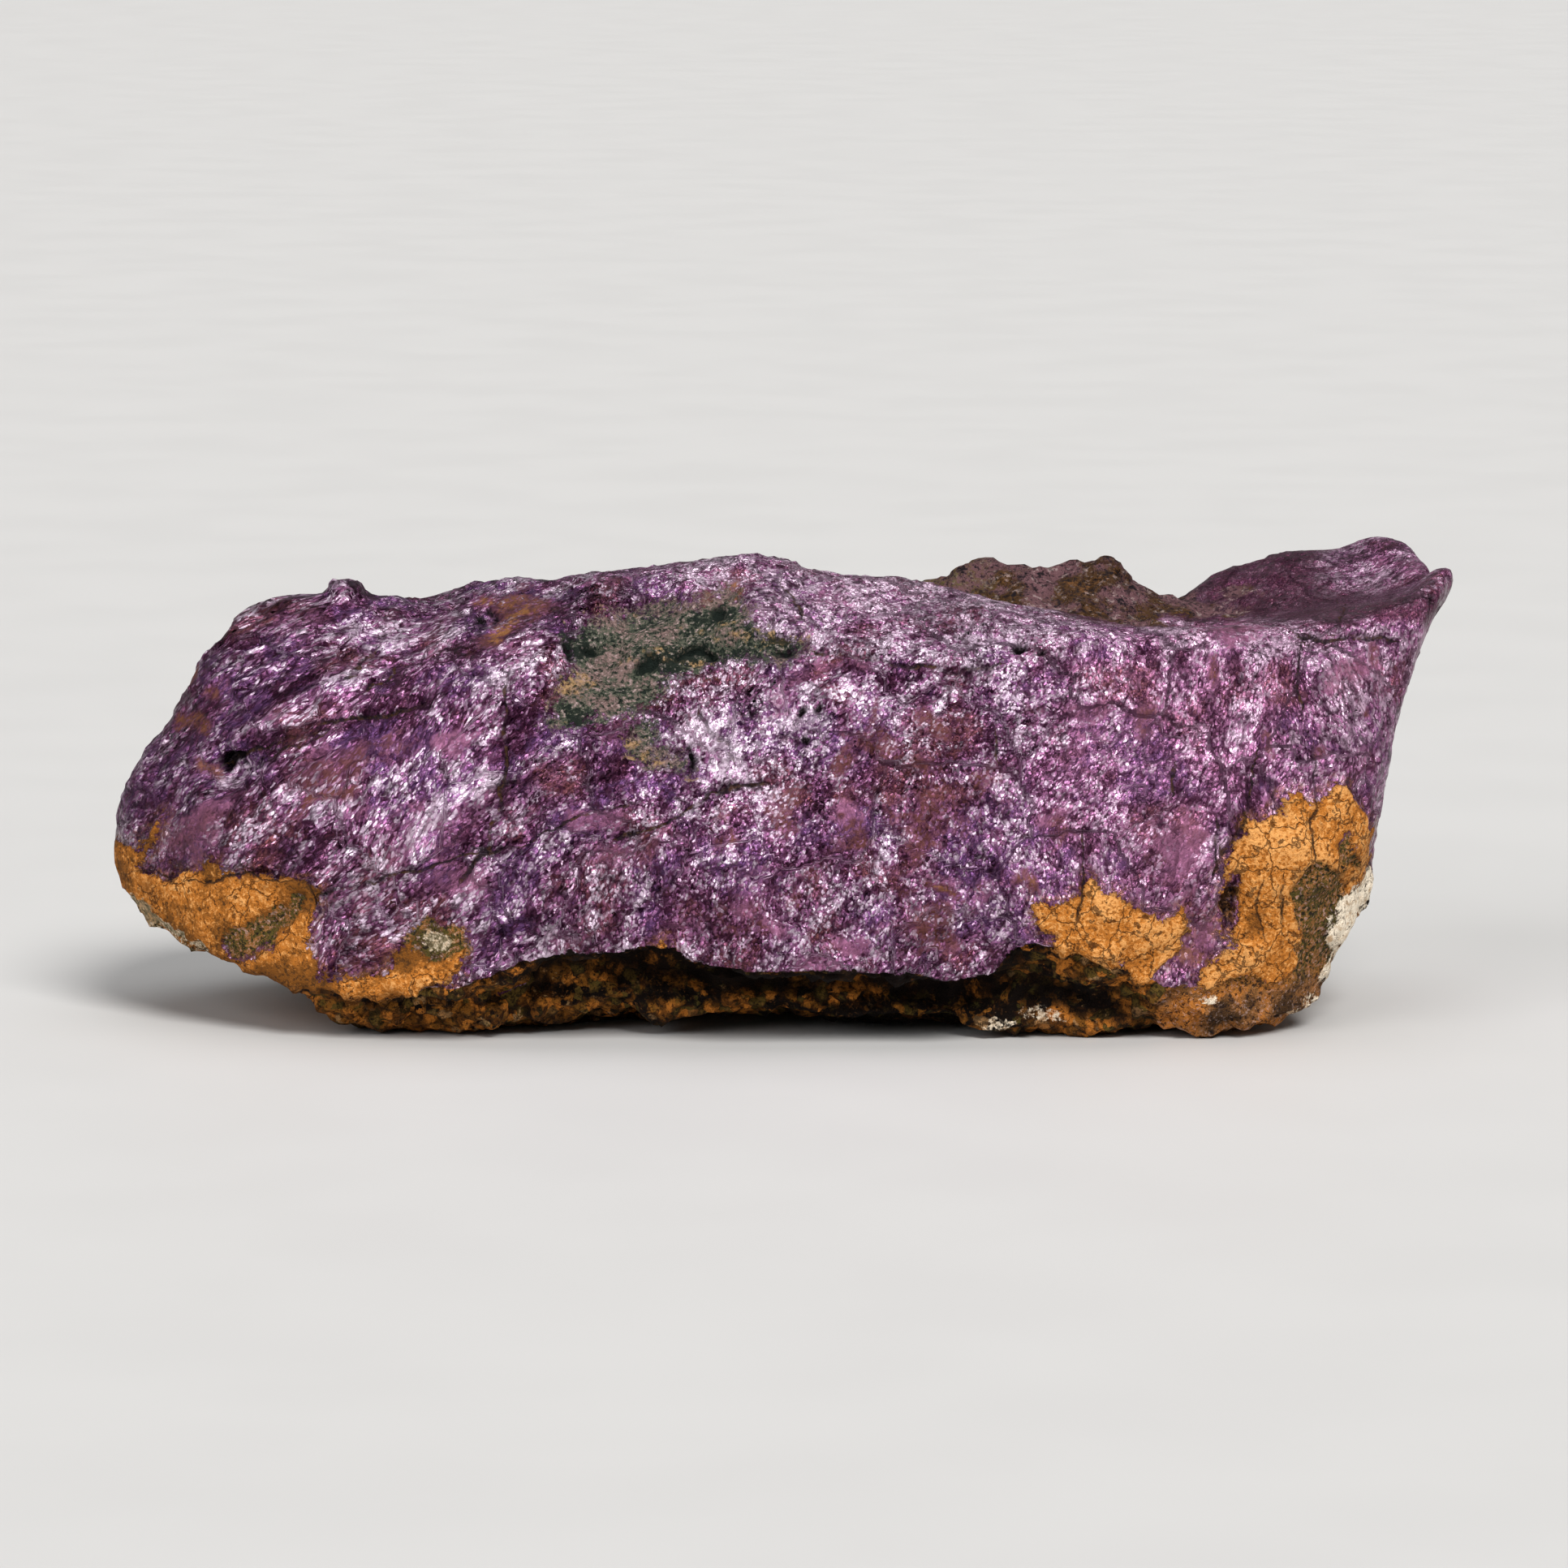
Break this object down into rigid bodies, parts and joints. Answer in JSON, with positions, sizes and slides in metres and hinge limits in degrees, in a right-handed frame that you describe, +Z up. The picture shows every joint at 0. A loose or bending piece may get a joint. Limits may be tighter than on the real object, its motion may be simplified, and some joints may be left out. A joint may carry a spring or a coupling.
{
  "type": "purpurite specimen",
  "caption": "Broken lump of purple purpurite with orange-brown crust, resting on its flat underside.",
  "frame": {"origin": "centre of the footprint of the specimen's box, on the surface that it rests on", "axes": "+X to the right along the specimen, seen from its good face; -Y out of the good face; +Z up"},
  "size_m": [0.08, 0.0315, 0.0276],
  "materials": {
    "purpurite": "satin"
  },
  "bodies": {
    "root": {"purpurite_stone": "purpurite"}
  },
  "joints": []
}
